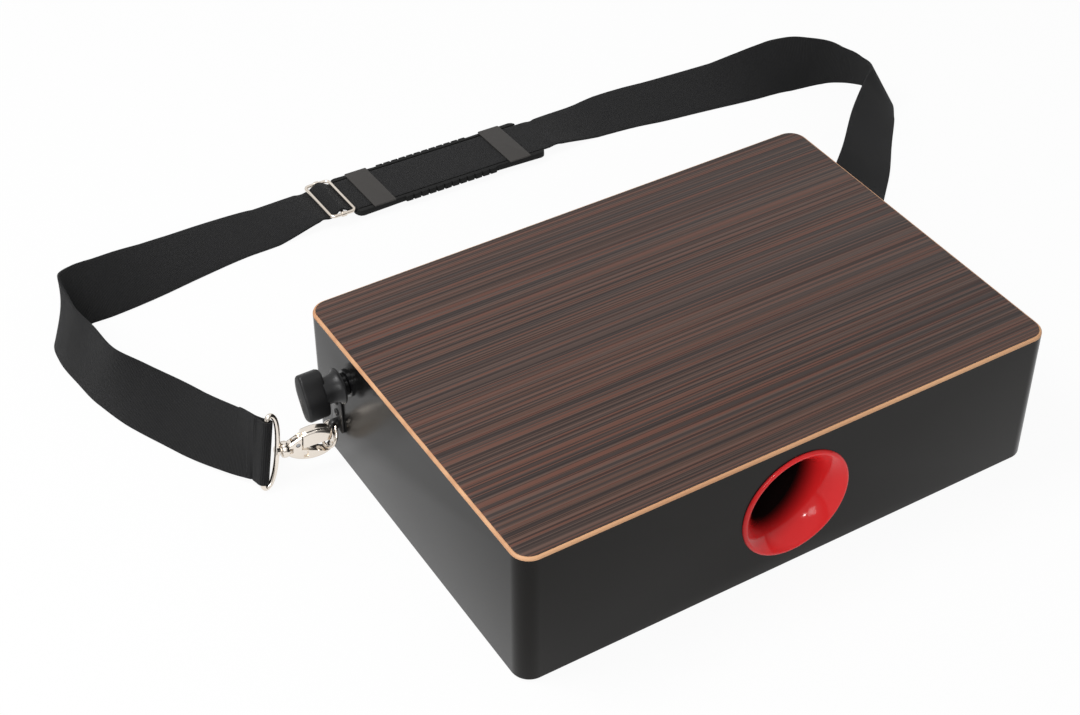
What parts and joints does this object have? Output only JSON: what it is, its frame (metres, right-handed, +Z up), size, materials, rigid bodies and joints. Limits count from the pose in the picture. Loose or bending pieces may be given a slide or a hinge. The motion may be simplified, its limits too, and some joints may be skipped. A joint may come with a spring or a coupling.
{
  "type": "lap cajon",
  "caption": "Flat lap cajon: wooden box with thin striped playing panel, flared bass port, knob-operated snares and a webbing shoulder strap on swivel snap hooks.",
  "frame": {"origin": "centre of the underside of the non-slip mat, on the surface that the box rests on", "axes": "+X along the long side, away from the snare knob; +Y towards the back, where the strap lies; +Z up through the playing panel; the bass port looks along -Y"},
  "size_m": [0.7976, 0.5821, 0.118],
  "materials": {
    "black_lacquer": "satin black lacquer over wood",
    "birch_ply": "clear sealed ply edge",
    "striped_veneer": "dark striped veneer, satin, grain along X",
    "softwood": "raw planed wood",
    "red_port": "gloss red moulding",
    "black_knob": "fine matte moulding",
    "nickel": "polished nickel plating",
    "steel": "zinc plated steel",
    "mat_rubber": "ribbed non-slip rubber",
    "webbing": "woven polyester webbing, 50 mm",
    "pad_rubber": "soft moulded grip pad"
  },
  "bodies": {
    "root": {"front_board": "black_lacquer", "back_board": "black_lacquer", "left_board": "black_lacquer", "right_board": "black_lacquer", "tapa_panel": "birch_ply", "bottom_panel": "birch_ply", "tapa_veneer": "striped_veneer", "corner_block_1": "softwood", "corner_block_2": "softwood", "corner_block_3": "softwood", "corner_block_4": "softwood", "front_cleat": "softwood", "back_cleat": "softwood", "shaft_bearing": "softwood", "bass_port": "red_port", "shaft_bush": "black_knob", "shaft_collar": "black_knob", "left_eye_plate": "nickel", "left_eye_screw_1": "nickel", "left_eye_screw_2": "nickel", "left_strap_loop": "nickel", "right_eye_plate": "nickel", "right_eye_screw_1": "nickel", "right_eye_screw_2": "nickel", "right_strap_loop": "nickel", "slider_frame": "nickel", "slider_bar": "nickel", "bottom_screw_1": "steel", "bottom_screw_2": "steel", "bottom_screw_3": "steel", "bottom_screw_4": "steel", "non_slip_mat": "mat_rubber", "strap_left": "webbing", "strap_back_left": "webbing", "strap_through_pad": "webbing", "strap_back_right": "webbing", "strap_right": "webbing"},
    "snare": {"snare_knob": "black_knob", "snare_shaft": "steel", "snare_arm_left": "steel", "snare_arm_right": "steel", "snare_batten": "softwood", "snare_wires_left": "steel", "snare_wires_right": "steel"},
    "pad": {"shoulder_pad": "pad_rubber"},
    "left_ring": {"left_eye_ring": "nickel"},
    "left_hook": {"left_hook_body": "nickel", "left_gate_pin": "steel", "left_gate_spring": "steel"},
    "left_gate": {"left_gate": "nickel"},
    "right_ring": {"right_eye_ring": "nickel"},
    "right_hook": {"right_hook_body": "nickel", "right_gate_pin": "steel", "right_gate_spring": "steel"},
    "right_gate": {"right_gate": "nickel"}
  },
  "joints": [
    {"name": "snare_turn", "type": "hinge", "parent": "root", "child": "snare", "pos_m": [0, 0.09, 0.0895], "axis": [1, 0, 0], "range_deg": [0, 20]},
    {"name": "pad_slide", "type": "slide", "parent": "root", "child": "pad", "axis": [0.9996, -0.0279, 0], "range_m": [0, 0.006]},
    {"name": "left_ring_swing", "type": "hinge", "parent": "root", "child": "left_ring", "pos_m": [-0.2246, 0.109, 0.03736], "axis": [0, 1, 0], "range_deg": [-3, 3]},
    {"name": "left_hook_swivel", "type": "hinge", "parent": "root", "child": "left_hook", "pos_m": [-0.26281, 0.11455, 0.02629], "axis": [0.9879, -0.1388, -0.0698], "range_deg": [-8, 8]},
    {"name": "left_gate_turn", "type": "hinge", "parent": "left_hook", "child": "left_gate", "pos_m": [-0.25365, 0.11327, 0.02965], "axis": [0.1392, 0.9903, 0], "range_deg": [0, 10], "stiffness_Nm_per_rad": 0.02, "springref_deg": -22.92},
    {"name": "right_ring_swing", "type": "hinge", "parent": "root", "child": "right_ring", "pos_m": [0.2246, 0.109, 0.03733], "axis": [0, 1, 0], "range_deg": [-3, 3]},
    {"name": "right_hook_swivel", "type": "hinge", "parent": "root", "child": "right_hook", "pos_m": [0.26103, 0.12199, 0.02629], "axis": [-0.9432, -0.3248, -0.0698], "range_deg": [-8, 8]},
    {"name": "right_gate_turn", "type": "hinge", "parent": "right_hook", "child": "right_gate", "pos_m": [0.25228, 0.11898, 0.02965], "axis": [0.3256, -0.9455, 0], "range_deg": [0, 10], "stiffness_Nm_per_rad": 0.02, "springref_deg": -22.92}
  ]
}
